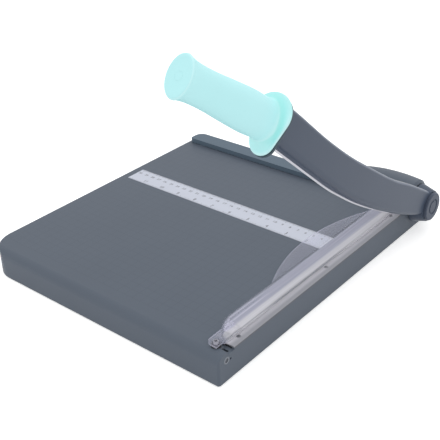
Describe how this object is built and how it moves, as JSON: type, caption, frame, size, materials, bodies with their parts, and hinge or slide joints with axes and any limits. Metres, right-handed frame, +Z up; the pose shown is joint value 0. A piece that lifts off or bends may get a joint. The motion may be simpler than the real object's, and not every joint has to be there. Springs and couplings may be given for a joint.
{
  "type": "paper trimmer",
  "caption": "Guillotine paper trimmer: flat base with ruler, rear fence and clear finger guard, and a pivoting blade arm with an oval flanged grip and a slide lock.",
  "frame": {"origin": "middle of the part's box at rest, on the surface that its feet stand on", "axes": "+X to the right, from the table to the blade arm; +Y from the front to the pivot at the rear; +Z up"},
  "size_m": [0.3434, 0.4244, 0.3096],
  "materials": {
    "slate_plastic": "fine moulded texture, satin",
    "black_plastic": "matt",
    "mint_plastic": "smooth, soft satin",
    "clear_plastic": "clear, faintly violet",
    "ruler_plastic": "matt, printed with a dark scale",
    "nylon": "matt",
    "foot_rubber": "matt",
    "blade_steel": "ground along its length",
    "steel": "zinc plated",
    "dark_steel": "blackened",
    "bush_brass": "turned"
  },
  "bodies": {
    "base": {"base_shell": "slate_plastic", "pivot_housing": "slate_plastic", "housing_screw": "steel", "bottom_cover": "black_plastic", "cover_screws": "steel", "rubber_feet": "foot_rubber", "rear_fence": "slate_plastic", "fence_screws": "steel", "ruler_strip": "ruler_plastic", "ledger_strip": "blade_steel", "ledger_screws": "dark_steel", "finger_guard": "clear_plastic", "guard_screws": "dark_steel", "guard_spacers": "black_plastic", "pivot_plate": "steel", "plate_screws": "steel", "pivot_bolt": "steel", "thrust_washer": "nylon", "disc_springs": "dark_steel", "nut_washer": "steel", "pivot_nut": "steel", "lock_bush": "steel"},
    "lock": {"lock_rod": "steel", "lock_knob": "black_plastic"},
    "arm": {"arm_shell": "slate_plastic", "cutting_blade": "blade_steel", "blade_screws": "dark_steel", "pivot_bush": "bush_brass", "pivot_cap": "slate_plastic", "arm_collar": "slate_plastic", "grip_tang": "steel", "grip": "mint_plastic", "grip_plug": "mint_plastic"}
  },
  "joints": [
    {"name": "arm_swing", "type": "hinge", "parent": "base", "child": "arm", "pos_m": [0.149, 0.18642, 0.0315], "axis": [-1, 0, 0], "range_deg": [-34, 28]},
    {"name": "lock_slide", "type": "slide", "parent": "base", "child": "lock", "axis": [1, 0, 0], "range_m": [0, 0.0046]}
  ]
}
